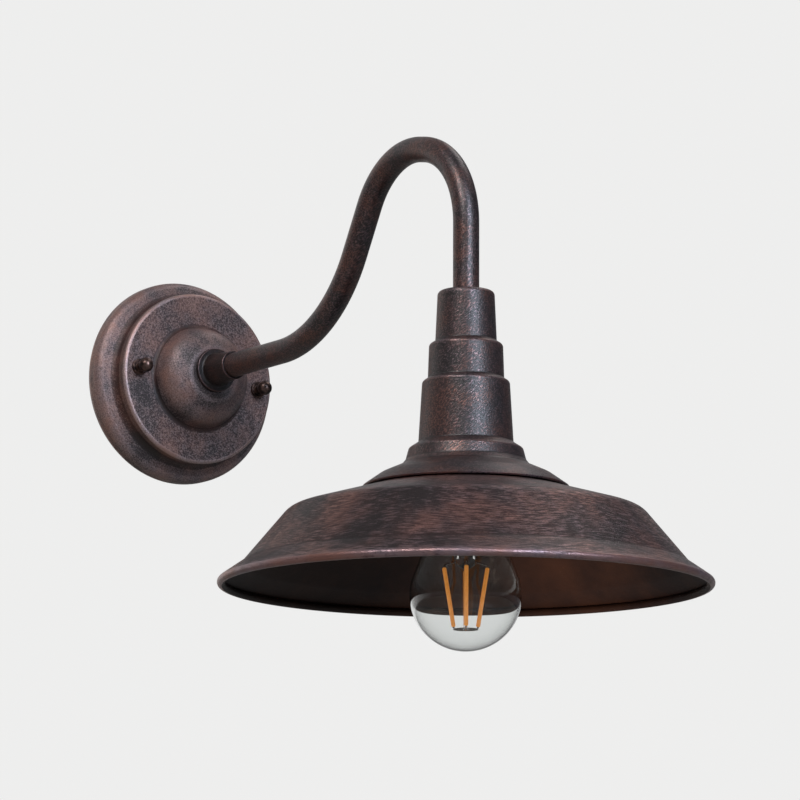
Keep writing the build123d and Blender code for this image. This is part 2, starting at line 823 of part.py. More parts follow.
nodes = {
    "wall_bracket": [make_bracket()],
    "canopy_screws": [make_canopy_screw(-1), make_canopy_screw(1)],
    "screw_nuts": [make_screw_nut(-1), make_screw_nut(1)],
    "earth_screw": [make_earth_screw()],
    "canopy": [make_canopy()],
    "ball_nut_left": [make_ball_nut(-1)],
    "ball_nut_right": [make_ball_nut(1)],
    "arm_collar": [make_collar()],
    "gooseneck_tube": [make_tube()],
    "arm_nipple": [arm_nipple],
    "arm_washer": [arm_washer],
    "arm_locknut": [arm_locknut],
    "cup_nipple": [cup_nipple],
    "cup_washer": [cup_washer],
    "cup_locknut": [cup_locknut],
    "socket_cup": [make_cup()],
    "holder_cap": [make_holder_cap()],
    "holder_skirt": [make_holder_skirt()],
    "holder_core": [make_holder_core()],
    "screw_shell": [make_screw_shell()],
    "centre_contact": [make_centre_contact()],
    "holder_terminals": [make_terminal(index) for index in range(3)],
    "shade_ring": [make_shade_ring()],
    "shade": [make_shade()],
    "bulb_glass": [make_glass()],
    "bulb_cap": [make_cap()],
    "bulb_insulator": [make_insulator()],
    "bulb_tip": [make_tip()],
    "bulb_stem": [make_stem()],
    "filaments": make_filaments(),
    "filament_wires": make_filament_wires(),
    "terminal_block": [make_block()],
    "block_screw": [make_block_screw()],
    "live_wire": [make_wire(0)],
    "earth_wire": [make_wire(1)],
    "neutral_wire": [make_wire(2)],
    "earth_link": [make_earth_link()],
}

os.makedirs("parts", exist_ok=True)
for name, pieces in nodes.items():
    solids = [solid for piece in pieces for solid in piece.solids()]
    shape = solids[0] if len(solids) == 1 else Compound(children=solids)
    export_step(shape, f"parts/{name}.step")
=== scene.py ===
import bmesh
import bpy
import math
from math import cos, radians, sin
from mathutils import Matrix, Vector


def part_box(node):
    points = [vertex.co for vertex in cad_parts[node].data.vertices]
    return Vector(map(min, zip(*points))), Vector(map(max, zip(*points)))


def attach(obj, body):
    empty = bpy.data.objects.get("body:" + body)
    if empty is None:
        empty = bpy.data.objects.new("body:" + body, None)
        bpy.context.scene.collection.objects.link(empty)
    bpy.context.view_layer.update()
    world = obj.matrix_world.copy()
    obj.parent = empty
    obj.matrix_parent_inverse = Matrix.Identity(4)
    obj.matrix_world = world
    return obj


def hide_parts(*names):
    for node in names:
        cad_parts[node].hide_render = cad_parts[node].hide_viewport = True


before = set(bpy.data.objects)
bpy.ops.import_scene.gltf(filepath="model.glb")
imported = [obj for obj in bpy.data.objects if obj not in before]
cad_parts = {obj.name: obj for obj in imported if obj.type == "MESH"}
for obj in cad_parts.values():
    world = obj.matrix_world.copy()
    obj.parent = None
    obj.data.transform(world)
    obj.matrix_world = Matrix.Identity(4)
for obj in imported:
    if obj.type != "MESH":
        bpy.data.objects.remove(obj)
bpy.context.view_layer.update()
mm = 0.001

# ---- Camera ----
# The lamp is seen from its left and from a little below, through a long lens.
# The aim point is the middle of the shade's rim, and the camera stands off to one side of it.
azimuth = radians(-34.35)
elevation = radians(-10.10)
roll = radians(0.26)
distance = 1895.2 * mm
rim_centre = Vector((0, -299.6, -152.6)) * mm
camera_left = 37.5 * mm
camera_up = 96.1 * mm

back = Vector((sin(azimuth), -cos(azimuth), 0)) * cos(elevation)
back.z = sin(elevation)
right = Vector((cos(azimuth), sin(azimuth), 0))
up = back.cross(right)
right, up = right * cos(roll) + up * sin(roll), up * cos(roll) - right * sin(roll)
place = rim_centre + back * distance - right * camera_left + up * camera_up
bpy.ops.object.camera_add()
camera = bpy.context.object
camera.matrix_world = Matrix.Translation(place) @ Matrix((right, up, back)).transposed().to_4x4()
camera.data.sensor_width = 36
camera.data.lens = 163.2
camera.data.shift_x = 0.008
camera.data.shift_y = 0.006
camera.data.clip_end = 20
bpy.context.scene.camera = camera
bpy.context.scene.view_settings.view_transform = "Standard"

# ---- Studio ----
# A pale floor well below the lamp and a pale backdrop that the camera, gloss and glass see. The
# room in front of the lamp is dimmer. A cool strip stands in front, and soft lamps high on the
# left, high on the right and low on the left.
floor_drop = 0.75
surround = (0.855, 0.855, 0.85)
dim_room = (0.08, 0.08, 0.09)
ambient = 0.09
floor_glow, floor_gloss = 0.9, 0.15  # shares of the surround that the floor shows straight and in gloss


def finish(name, roughness=0.5, metallic=0.0, specular=0.5):
    """A new material, its nodes and links, and its Principled shader."""
    material = bpy.data.materials.new(name)
    material.use_nodes = True
    shader = material.node_tree.nodes["Principled BSDF"]
    shader.inputs["Roughness"].default_value = roughness
    shader.inputs["Metallic"].default_value = metallic
    shader.inputs["Specular IOR Level"].default_value = specular
    return material, material.node_tree.nodes, material.node_tree.links, shader


def noise(nodes, links, vector, scale, detail=2.0, rough=0.5):
    """A noise texture read at a vector, in cycles per metre."""
    node = nodes.new("ShaderNodeTexNoise")
    node.inputs["Scale"].default_value = scale
    node.inputs["Detail"].default_value = detail
    node.inputs["Roughness"].default_value = rough
    links.new(vector, node.inputs["Vector"])
    return node.outputs["Fac"]


def spread(nodes, links, value, low, high, to_low=0.0, to_high=1.0):
    """The stretch of a value from low to high, spread over another range and clamped."""
    node = nodes.new("ShaderNodeMapRange")
    node.inputs["From Min"].default_value = low
    node.inputs["From Max"].default_value = high
    node.inputs["To Min"].default_value = to_low
    node.inputs["To Max"].default_value = to_high
    links.new(value, node.inputs["Value"])
    return node.outputs["Result"]


def maths(nodes, links, operation, *values):
    """One step of arithmetic on numbers and sockets."""
    node = nodes.new("ShaderNodeMath")
    node.operation = operation
    for socket, value in zip(node.inputs, values):
        if isinstance(value, bpy.types.NodeSocket):
            links.new(value, socket)
        else:
            socket.default_value = value
    return node.outputs[0]


def blended(nodes, links, share, first, second):
    """A colour between two colours, each given as numbers or as a socket."""
    node = nodes.new("ShaderNodeMix")
    node.data_type = "RGBA"
    links.new(share, node.inputs["Factor"])
    for socket, colour in ((node.inputs["A"], first), (node.inputs["B"], second)):
        if isinstance(colour, bpy.types.NodeSocket):
            links.new(colour, socket)
        else:
            socket.default_value = (*colour, 1)
    return node.outputs["Result"]


def bumped(nodes, links, shader, height, depth, strength=1.0):
    """Raises a height, of a depth in metres, on the shader's normal."""
    node = nodes.new("ShaderNodeBump")
    node.inputs["Distance"].default_value = depth
    node.inputs["Strength"].default_value = strength
    links.new(height, node.inputs["Height"])
    links.new(node.outputs["Normal"], shader.inputs["Normal"])


def mottled(name, scale, low, high, first, second, detail=3.0, rough=0.5, gloss=None, grain=None, **surface):
    """A material in cloudy patches of two colours. Its gloss is a range of roughness that follows the
    patches. Its grain is a scale, a depth and a strength, and a scale of 0 raises the patches."""
    material, nodes, links, shader = finish(name, **surface)
    place = nodes.new("ShaderNodeTexCoord").outputs["Object"]
    patches = spread(nodes, links, noise(nodes, links, place, scale, detail, rough), low, high)
    links.new(blended(nodes, links, patches, first, second), shader.inputs["Base Color"])
    if gloss:
        links.new(spread(nodes, links, patches, 0, 1, *gloss), shader.inputs["Roughness"])
    if grain:
        fine, depth, strength = grain
        bumped(nodes, links, shader, noise(nodes, links, place, fine) if fine else patches, depth, strength)
    return material


def backdrop_rays(nodes, links):
    """One for rays that see the backdrop straight or through glass, and one for those off gloss."""
    path = nodes.new("ShaderNodeLightPath")
    through = maths(nodes, links, "MULTIPLY", path.outputs["Is Transmission Ray"],
                    maths(nodes, links, "LESS_THAN", path.outputs["Glossy Depth"], 0.5))
    bounced = maths(nodes, links, "MAXIMUM", path.outputs["Is Glossy Ray"], path.outputs["Is Transmission Ray"])
    return maths(nodes, links, "MAXIMUM", path.outputs["Is Camera Ray"], through), bounced


bpy.ops.mesh.primitive_plane_add(size=12, location=(0, -0.3, -floor_drop))
floor = bpy.context.object
floor.name = "floor"
floor_paint = mottled("floor_paint", 3, 0.3, 0.7, (0.21, 0.21, 0.20), (0.23, 0.23, 0.22), detail=2.0,
                      roughness=0.9, specular=0.1)
nodes, links = floor_paint.node_tree.nodes, floor_paint.node_tree.links
shader = nodes["Principled BSDF"]
shader.inputs["Emission Color"].default_value = (*surround, 1)
straight, bounced = backdrop_rays(nodes, links)
shown = maths(nodes, links, "MAXIMUM", maths(nodes, links, "MULTIPLY", straight, floor_glow),
              maths(nodes, links, "MULTIPLY", bounced, floor_gloss))
links.new(shown, shader.inputs["Emission Strength"])
from_below = nodes.new("ShaderNodeMixShader")
links.new(nodes.new("ShaderNodeNewGeometry").outputs["Backfacing"], from_below.inputs["Fac"])
links.new(shader.outputs[0], from_below.inputs[1])
links.new(nodes.new("ShaderNodeBsdfTransparent").outputs[0], from_below.inputs[2])
links.new(from_below.outputs[0], nodes["Material Output"].inputs["Surface"])
floor.data.materials.append(floor_paint)

world = bpy.data.worlds.new("studio")
world.use_nodes = True
nodes, links = world.node_tree.nodes, world.node_tree.links
nodes.clear()
light = nodes.new("ShaderNodeBackground")
light.inputs["Color"].default_value = (1, 1, 1, 1)
light.inputs["Strength"].default_value = ambient
heading = nodes.new("ShaderNodeSeparateXYZ")
links.new(nodes.new("ShaderNodeTexCoord").outputs["Generated"], heading.inputs[0])
backdrop_edge = 0.35  # how far round the lamp the pale backdrop reaches
behind = spread(nodes, links, heading.outputs["Y"], backdrop_edge, 1.0)
straight, bounced = backdrop_rays(nodes, links)
full = maths(nodes, links, "MAXIMUM", behind, straight)
backdrop = nodes.new("ShaderNodeBackground")
links.new(blended(nodes, links, full, dim_room, surround), backdrop.inputs["Color"])
either = nodes.new("ShaderNodeMixShader")
links.new(maths(nodes, links, "MAXIMUM", straight, bounced), either.inputs["Fac"])
links.new(light.outputs[0], either.inputs[1])
links.new(backdrop.outputs[0], either.inputs[2])
links.new(either.outputs[0], nodes.new("ShaderNodeOutputWorld").inputs["Surface"])
bpy.context.scene.world = world


def softbox(name, bearing, height, reach, width, tall, watts, colour):
    """A soft lamp aimed at the sconce's middle, from a bearing and a height in degrees."""
    bearing, height = radians(bearing), radians(height)
    aim = Vector((0, -0.2, -0.05))
    way = Vector((sin(bearing) * cos(height), -cos(bearing) * cos(height), sin(height)))
    bpy.ops.object.light_add(type="AREA", location=aim + way * reach)
    lamp = bpy.context.object
    lamp.name = name
    lamp.rotation_euler = way.to_track_quat("Z", "Y").to_euler()
    lamp.data.shape = "RECTANGLE"
    lamp.data.size = width
    lamp.data.size_y = tall
    lamp.data.energy = watts
    lamp.data.color = colour
    lamp.visible_transmission = False


softbox("front_strip", bearing=-2, height=17, reach=1.7, width=0.50, tall=1.1, watts=26, colour=(0.74, 0.84, 1.0))
softbox("left_softbox", bearing=-60, height=42, reach=1.6, width=0.5, tall=0.6, watts=15, colour=(1.0, 0.94, 0.93))
softbox("right_softbox", bearing=100, height=58, reach=1.6, width=0.5, tall=0.5, watts=3.5, colour=(1.0, 0.94, 0.92))
softbox("low_fill", bearing=-112, height=-14, reach=1.5, width=0.4, tall=0.4, watts=6, colour=(1.0, 0.76, 0.60))
bpy.context.object.visible_glossy = False

# A narrow warm beam from low on the left lights the inside of the shade.
beam_from, beam_to = Vector((-0.25, -0.55, -0.62)), Vector((0.09, -0.26, -0.135))
bpy.ops.object.light_add(type="SPOT", location=beam_from)
beam = bpy.context.object
beam.name = "inside_beam"
beam.rotation_euler = (beam_from - beam_to).to_track_quat("Z", "Y").to_euler()
beam.data.energy = 24
beam.data.color = (1.0, 0.74, 0.56)
beam.data.spot_size = radians(15)
beam.data.spot_blend = 1.0
beam.data.shadow_soft_size = 0.05
beam.visible_glossy = False
beam.visible_transmission = False

# ---- Wall bracket ----
# A joggled strap of zinc-plated steel with a tongue, two straight slots for the wall screws
# and two curved slots for the canopy's screws. The press leaves its edges slightly rounded.
weld = 0.000002  # vertices closer than this are merged
smooth_angle = radians(35)


def painted(piece, material):
    """Gives a piece one material."""
    piece.data.materials.clear()
    piece.data.materials.append(material)


def placed(piece, material, body, slot, *stands_for):
    """Paints a finished piece, sets it on its body and names what it stands for."""
    if slot.startswith("rust_bronze"):
        mark_edges(piece)
    painted(piece, material)
    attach(piece, body)
    if stands_for:
        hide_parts(*stands_for)
    return piece


def edit_all():
    """Opens the active piece in edit mode with all of it selected."""
    bpy.ops.object.mode_set(mode="EDIT")
    bpy.ops.mesh.select_all(action="SELECT")


def eased(node, ease, segments=2):
    """A copy of a solid with its sharp edges eased by a width in millimetres."""
    bpy.ops.object.select_all(action="DESELECT")
    piece = bpy.data.objects.new(f"{node}_eased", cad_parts[node].data.copy())
    bpy.context.collection.objects.link(piece)
    bpy.context.view_layer.objects.active = piece
    piece.select_set(True)
    edit_all()
    bpy.ops.mesh.remove_doubles(threshold=weld)
    bpy.ops.mesh.dissolve_limited(angle_limit=radians(0.5))
    bpy.ops.object.mode_set(mode="OBJECT")
    edge = piece.modifiers.new("edge", "BEVEL")
    edge.width = ease * mm
    edge.segments = segments
    edge.angle_limit = radians(40)
    bpy.ops.object.modifier_apply(modifier="edge")
    bpy.ops.object.shade_smooth_by_angle(angle=smooth_angle)
    return piece


def dressed(node, ease, material, body, slot, segments=2):
    """Puts an eased copy of a solid in place of its node."""
    placed(eased(node, ease, segments), material, body, slot, node)


def plated(name, light, dark, scale=260, roughness=0.34):
    """Bright plated metal with a faint cloudy bloom."""
    return mottled(name, scale, 0.35, 0.68, light, dark, detail=4, rough=0.6, metallic=1.0,
                   gloss=(roughness - 0.06, roughness + 0.10), grain=(1500, 0.00004, 0.4))


zinc = plated("zinc_plate", (0.62, 0.62, 0.60), (0.44, 0.45, 0.46))
brass = plated("turned_brass", (0.72, 0.52, 0.24), (0.56, 0.38, 0.16), scale=400, roughness=0.30)
dressed("wall_bracket", 0.25, zinc, "root", "zinc_steel")

# ---- Canopy screws and their nuts ----
# Two M4 pan-head screws stand out through the bracket, each locked by a hexagon nut. The third,
# shorter one clamps the earth wire.


def polyline(name, corners):
    """A chain of edges through corners (radius, height), in millimetres, in the plane y = 0."""
    bpy.ops.object.select_all(action="DESELECT")
    bpy.ops.mesh.primitive_plane_add(size=mm)
    piece = bpy.context.object
    piece.name = name
    edit_all()
    bpy.ops.mesh.merge(type="CENTER")
    radius, height = corners[0]
    bpy.ops.transform.translate(value=(radius * mm, 0, height * mm))
    for next_radius, next_height in corners[1:]:
        step = ((next_radius - radius) * mm, 0, (next_height - height) * mm)
        bpy.ops.mesh.extrude_region_move(TRANSFORM_OT_translate={"value": step})
        radius, height = next_radius, next_height
    bpy.ops.object.mode_set(mode="OBJECT")
    return piece


def set_down(piece, lay, at):
    """Lays the active piece, sets it in its place and smooths it."""
    if lay:
        piece.rotation_euler = lay
    piece.location = at
    bpy.ops.object.transform_apply(location=True, rotation=True, scale=True)
    bpy.ops.object.shade_smooth_by_angle(angle=smooth_angle)
    return piece


def threaded(name, profile, pitch, low, high, sides=48, filled=True, lay=None, at=(0, 0, 0)):
    """A thread: one pitch of its outline is wound into a helix and cut square at both ends."""
    start = math.floor(low / pitch - 1) * pitch
    piece = polyline(name, [(radius, start + height * pitch) for radius, height in profile])
    wound = piece.modifiers.new("wound", "SCREW")
    wound.axis = "Z"
    wound.screw_offset = pitch * mm
    wound.iterations = math.ceil((high - start) / pitch) + 1
    wound.steps = sides
    wound.render_steps = sides
    wound.use_merge_vertices = True
    wound.merge_threshold = weld
    bpy.ops.object.modifier_apply(modifier="wound")
    bpy.ops.object.mode_set(mode="EDIT")
    for height, outward in ((low, -1), (high, 1)):
        bpy.ops.mesh.select_all(action="SELECT")
        bpy.ops.mesh.bisect(plane_co=(0, 0, height * mm), plane_no=(0, 0, outward), clear_outer=True,
                            use_fill=filled)
    bpy.ops.mesh.select_all(action="SELECT")
    bpy.ops.mesh.remove_doubles(threshold=weld)
    bpy.ops.mesh.normals_make_consistent(inside=False)
    bpy.ops.object.mode_set(mode="OBJECT")
    return set_down(piece, lay, at)


def vee(crest, root):
    """One pitch of a vee thread, as radii and shares of the pitch."""
    return [(root, 0.0), (crest, 0.42), (crest, 0.58), (root, 1.0)]


def joined(name, *pieces):
    """Several meshes made one."""
    bpy.ops.object.select_all(action="DESELECT")
    for piece in pieces:
        piece.select_set(True)
    bpy.context.view_layer.objects.active = pieces[0]
    bpy.ops.object.join()
    pieces[0].name = name
    return pieces[0]


def rounded(corners, step=radians(9), margin=0.35):
    """Rings (radius, height) of a turned outline whose corners are (radius, height, round)."""
    points = [Vector(corner[:2]) for corner in corners]
    rings = [points[0]]
    for before, corner, after, (_, _, bend) in zip(points, points[1:], points[2:], corners[1:]):
        if bend == 0:
            rings.append(corner)
            continue
        inward = (before - corner).normalized()
        outward = (after - corner).normalized()
        turn = math.pi - inward.angle(outward)
        reach = bend * math.tan(turn / 2)
        centre = corner + (inward + outward).normalized() * (bend / cos(turn / 2))
        start = corner + inward * reach - centre
        count = max(2, math.ceil(turn / step))
        way = 1 if inward.cross(outward) < 0 else -1
        first = math.atan2(start.y, start.x)
        rings.append(centre + start + inward * margin)
        for index in range(count + 1):
            angle = first + way * turn * index / count
            rings.append(centre + Vector((cos(angle), sin(angle))) * bend)
        rings.append(corner + outward * (reach + margin))
    rings.append(points[-1])
    return rings


def walled(piece, wall, even=False):
    """Gives the active open surface a wall on its inner side."""
    skin = piece.modifiers.new("wall", "SOLIDIFY")
    skin.thickness = wall * mm
    skin.offset = -1
    skin.use_even_offset = even
    bpy.ops.object.modifier_apply(modifier="wall")


def turned(name, rings, sides=144, wall=0.0, lay=None, at=(0, 0, 0), closed=False):
    """A turned piece: a circle is extruded ring by ring, given its wall and set on its axis."""
    bpy.ops.object.select_all(action="DESELECT")
    radius, height = rings[0]
    bpy.ops.mesh.primitive_circle_add(vertices=sides, radius=radius * mm, location=(0, 0, height * mm))
    piece = bpy.context.object
    piece.name = name
    bpy.ops.object.transform_apply(location=True, rotation=True, scale=True)
    edit_all()
    for next_radius, next_height in rings[1:]:
        rise = (0, 0, (next_height - height) * mm)
        bpy.ops.mesh.extrude_region_move(TRANSFORM_OT_translate={"value": rise})
        if next_radius == 0:
            bpy.ops.mesh.merge(type="CENTER")
        else:
            grow = next_radius / radius
            bpy.ops.transform.resize(value=(grow, grow, 1), center_override=(0, 0, next_height * mm))
        radius, height = next_radius, next_height
    bpy.ops.mesh.select_all(action="SELECT")
    if closed:
        bpy.ops.mesh.remove_doubles(threshold=0.000005)
    bpy.ops.mesh.normals_make_consistent(inside=False)
    bpy.ops.object.mode_set(mode="OBJECT")
    if wall:
        axis_point = Vector((0, 0, rings[-1][1] * mm))
        facing = sum(face.normal.dot(face.center - axis_point) * face.area for face in piece.data.polygons)
        if facing < 0:
            piece.data.flip_normals()
        walled(piece, wall, even=True)
        edge = piece.modifiers.new("edge", "BEVEL")
        edge.width = min(0.25, wall / 4) * mm
        edge.segments = 2
        edge.angle_limit = radians(50)
        bpy.ops.object.modifier_apply(modifier="edge")
    return set_down(piece, lay, at)


facing_room = (radians(90), 0, 0)  # turns a piece drawn upright to point out from the wall
screw_r, screw_root_r = 2.0, 1.62
screw_pitch = 0.7
screw_head_r, screw_head_back = 3.8, 2.1
drive_r, drive_floor = 1.0, 3.1  # the recess for the driver
head_core_r = 1.5
screw_seat = 4.5
screw_end = 35.8
fixing_screws = []
for side in ("left", "right"):
    low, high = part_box(f"ball_nut_{side}")
    axis = ((low.x + high.x) / 2, 0, (low.z + high.z) / 2)
    shank = threaded(f"canopy_screw_{side}", vee(screw_r, screw_root_r), screw_pitch, screw_seat, screw_end,
                     lay=facing_room, at=axis)
    head_outline = [
        (drive_r, drive_floor, 0), (drive_r, screw_head_back, 0), (screw_head_r, screw_head_back, 0.8),
        (screw_head_r, screw_seat, 0.1), (head_core_r, screw_seat, 0), (head_core_r, drive_floor, 0),
        (drive_r, drive_floor, 0),
    ]
    head = turned(f"canopy_screw_head_{side}", rounded(head_outline, margin=0.05), sides=48, lay=facing_room,
                  at=axis, closed=True)
    fixing_screws += [shank, head]
placed(joined("canopy_fixing_screws", *fixing_screws), zinc, "root", "zinc_steel", "canopy_screws")
dressed("screw_nuts", 0.3, zinc, "root", "zinc_steel", segments=1)
dressed("earth_screw", 0.2, brass, "root", "brass")

# ---- Rust-bronze finish ----
# The canopy, arm, cup and shade are sprayed near-black brown and dry-brushed with copper.
# The group gives where the copper lies: specks, slanting scratches or strokes round an upright axis.
worn = bpy.data.node_groups.new("dry_brushed_copper", "ShaderNodeTree")
worn.interface.new_socket("Vector", in_out="INPUT", socket_type="NodeSocketVector")
for label in ("Edge", "Strokes", "Stroke Turns", "Speck Scale", "Patch Scale", "Amount", "Contrast", "Scratches"):
    worn.interface.new_socket(label, in_out="INPUT", socket_type="NodeSocketFloat")
for label in ("Copper", "Patches", "Grain"):
    worn.interface.new_socket(label, in_out="OUTPUT", socket_type="NodeSocketFloat")
bow_count, bow_depth = 7.0, 0.003  # the strokes wander up and down as they go round
stroke_scale = 900.0
scratch_scale, scratch_length = 1900, 4.0
scratch_lay = (0, radians(-38), radians(-34))
edge_share, patch_share, amount_share = 0.7, 0.35, 0.4
copper_from, copper_full = 0.60, 0.88


def step(operation, *values):
    """One step of arithmetic inside the group."""
    return maths(worn.nodes, worn.links, operation, *values)


def mixed(share, first, second):
    """A number between two numbers, inside the group."""
    node = worn.nodes.new("ShaderNodeMix")
    for socket, value in ((node.inputs["Factor"], share), (node.inputs["A"], first), (node.inputs["B"], second)):
        worn.links.new(value, socket)
    return node.outputs["Result"]


def scaled_noise(scale, detail, rough):
    """Noise over the group's vector, at a scale that is one of its inputs."""
    node = worn.nodes.new("ShaderNodeTexNoise")
    node.inputs["Detail"].default_value = detail
    node.inputs["Roughness"].default_value = rough
    worn.links.new(given["Vector"], node.inputs["Vector"])
    worn.links.new(given[scale], node.inputs["Scale"])
    return node.outputs["Fac"]


nodes, links = worn.nodes, worn.links
given = nodes.new("NodeGroupInput").outputs
made = nodes.new("NodeGroupOutput").inputs
parts = nodes.new("ShaderNodeSeparateXYZ")
links.new(given["Vector"], parts.inputs[0])
x, y, z = parts.outputs
radius = step("SQRT", step("ADD", step("MULTIPLY", x, x), step("MULTIPLY", y, y)))
turn = step("ARCTAN2", y, x)
bow = step("MULTIPLY", step("SINE", step("MULTIPLY", turn, bow_count)), bow_depth)
along = step("ADD", step("SUBTRACT", radius, z), bow)
ring = nodes.new("ShaderNodeCombineXYZ")
links.new(step("MULTIPLY", step("COSINE", turn), given["Stroke Turns"]), ring.inputs[0])
links.new(step("MULTIPLY", step("SINE", turn), given["Stroke Turns"]), ring.inputs[1])
links.new(step("MULTIPLY", along, stroke_scale), ring.inputs[2])
strokes = noise(nodes, links, ring.outputs[0], 1.0, detail=2.0, rough=0.6)
specks = scaled_noise("Speck Scale", detail=2.5, rough=0.7)
patches = scaled_noise("Patch Scale", detail=3, rough=0.6)
slant = nodes.new("ShaderNodeMapping")
slant.vector_type = "TEXTURE"
slant.inputs["Rotation"].default_value = scratch_lay
slant.inputs["Scale"].default_value = (scratch_length, 1.0, 1.0)
links.new(given["Vector"], slant.inputs["Vector"])
scratches = noise(nodes, links, slant.outputs[0], scratch_scale, detail=1.5)
grain = mixed(given["Scratches"], specks, scratches)
mark = mixed(given["Strokes"], grain, strokes)
# More copper on convex edges and less in concave ones: partly edge wear, partly painted highlight on corners and
# painted shade in creases.
edge_wear_and_painted_light = step("MULTIPLY", step("SUBTRACT", given["Edge"], 0.5), edge_share)
cover = step("MULTIPLY", step("SUBTRACT", patches, 0.5), patch_share)
swing = step("MULTIPLY", step("SUBTRACT", mark, 0.5), given["Contrast"])
level = step("ADD", step("ADD", swing, cover), edge_wear_and_painted_light)
level = step("ADD", level, step("MULTIPLY_ADD", given["Amount"], amount_share, 0.5))
links.new(spread(nodes, links, level, copper_from, copper_full), made["Copper"])
links.new(patches, made["Patches"])
links.new(grain, made["Grain"])


def rust_bronze(name, specks, amount, patch, gloss, dim, centre=(0, 0, 0), sheen=0.5, strokes=0.0, turns=12,
                scratches=0.0, contrast=1.0, cool=(0.245, 0.178, 0.192), warm=(0.255, 0.134, 0.112)):
    """The dry-brushed finish of one turned or bent piece, with its pattern centred on it."""
    material, nodes, links, shader = finish(name, specular=sheen)
    place = nodes.new("ShaderNodeMapping")
    place.inputs["Location"].default_value = [-value for value in centre]
    links.new(nodes.new("ShaderNodeTexCoord").outputs["Object"], place.inputs["Vector"])
    wear = nodes.new("ShaderNodeGroup")
    wear.node_tree = worn
    wear.name = "wear"
    links.new(place.outputs[0], wear.inputs["Vector"])
    # The edge mark: more copper on convex edges and none in creases, partly wear and partly painted highlight and
    # painted shade.
    edges = nodes.new("ShaderNodeAttribute")
    edges.attribute_name = "edge_wear_and_painted_light"
    links.new(edges.outputs["Fac"], wear.inputs["Edge"])
    for label, value in (("Strokes", strokes), ("Stroke Turns", turns), ("Speck Scale", specks),
                         ("Patch Scale", patch), ("Amount", amount), ("Contrast", contrast),
                         ("Scratches", scratches)):
        wear.inputs[label].default_value = value
    tone = spread(nodes, links, wear.outputs["Patches"], 0.38, 0.62)
    ground = blended(nodes, links, tone, [value * dim for value in (0.012, 0.008, 0.008)],
                     [value * dim for value in (0.030, 0.012, 0.010)])
    brushed = blended(nodes, links, tone, [value * dim for value in cool], [value * dim for value in warm])
    copper = wear.outputs["Copper"]
    links.new(spread(nodes, links, copper, 0, 1, 0.1, 0.72), shader.inputs["Metallic"])
    links.new(blended(nodes, links, copper, ground, brushed), shader.inputs["Base Color"])
    links.new(spread(nodes, links, copper, 0, 1, gloss + 0.04, gloss - 0.04), shader.inputs["Roughness"])
    bumped(nodes, links, shader, wear.outputs["Grain"], 0.0004, strength=0.6)
    return material


def mark_edges(piece, sharpest=1.0):
    """Stores how sharply the surface bends at each vertex. Convex bends get more copper and concave ones less:
    partly edge wear, partly painted highlight on corners and painted shade in creases.
    """
    least_across = 0.02 * mm
    shape = bmesh.new()
    shape.from_mesh(piece.data)
    shape.verts.ensure_lookup_table()
    bends = [0.0] * len(shape.verts)
    for edge in shape.edges:
        if len(edge.link_faces) == 2:
            across = sum(face.calc_area() for face in edge.link_faces) / (2 * edge.calc_length())
            bend = edge.calc_face_angle_signed() * mm / max(across, least_across)
            for corner in edge.verts:
                if abs(bend) > abs(bends[corner.index]):
                    bends[corner.index] = bend
    shape.free()
    edge_wear_and_painted_light = piece.data.attributes.new("edge_wear_and_painted_light", "FLOAT", "POINT")
    edge_wear_and_painted_light.data.foreach_set("value", [0.5 + 0.5 * max(-1.0, min(1.0, bend / sharpest)) for bend in bends])


# ---- Canopy ----
# A spun steel cover, 120 mm across, that hides the wall bracket: a rounded foot turned in at
# its edge, a cove, a flat disc and a dome that the arm leaves from. It is open at the back.
canopy_low, canopy_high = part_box("canopy")
dome_front = -canopy_low.y / mm
disc_front = 28.3
foot_r = canopy_high.x / mm
canopy_rust = rust_bronze("canopy_rust", specks=1250, amount=0.42, patch=45, gloss=0.42, dim=1.7,
                          cool=(0.240, 0.190, 0.192), warm=(0.215, 0.136, 0.118))
nodes, links = canopy_rust.node_tree.nodes, canopy_rust.node_tree.links
flat = nodes.new("ShaderNodeSeparateXYZ")
links.new(nodes.new("ShaderNodeTexCoord").outputs["Object"], flat.inputs[0])
off_disc = maths(nodes, links, "ABSOLUTE", maths(nodes, links, "ADD", flat.outputs["Y"], disc_front * mm))
disc_contrast, side_contrast = 0.75, 0.45
links.new(spread(nodes, links, off_disc, 1.5 * mm, 5 * mm, disc_contrast, side_contrast),
          nodes["wear"].inputs["Contrast"])
canopy_wall = 1.2
back_edge_r = 58.4
canopy_outline = [
    (back_edge_r, 0, 0),
    (back_edge_r, 0.8, 1.0),
    (foot_r, 3.2, 5.0),
    (foot_r, 12.5, 6.0),  # foot
    (49.4, 17.0, 4.5),  # cove
    (51.0, disc_front, 1.9),
    (30.5, disc_front, 2.5),  # root of the dome
    (27.0, 41.0, 12.0),
    (16.0, dome_front, 6.0),
    (7.5, dome_front, 0),  # hole for the arm
]
canopy_rings = rounded(canopy_outline, margin=0.3)
canopy = turned("canopy_shell", canopy_rings, sides=192, wall=canopy_wall, lay=facing_room)
placed(canopy, canopy_rust, "root", "rust_bronze", "canopy")

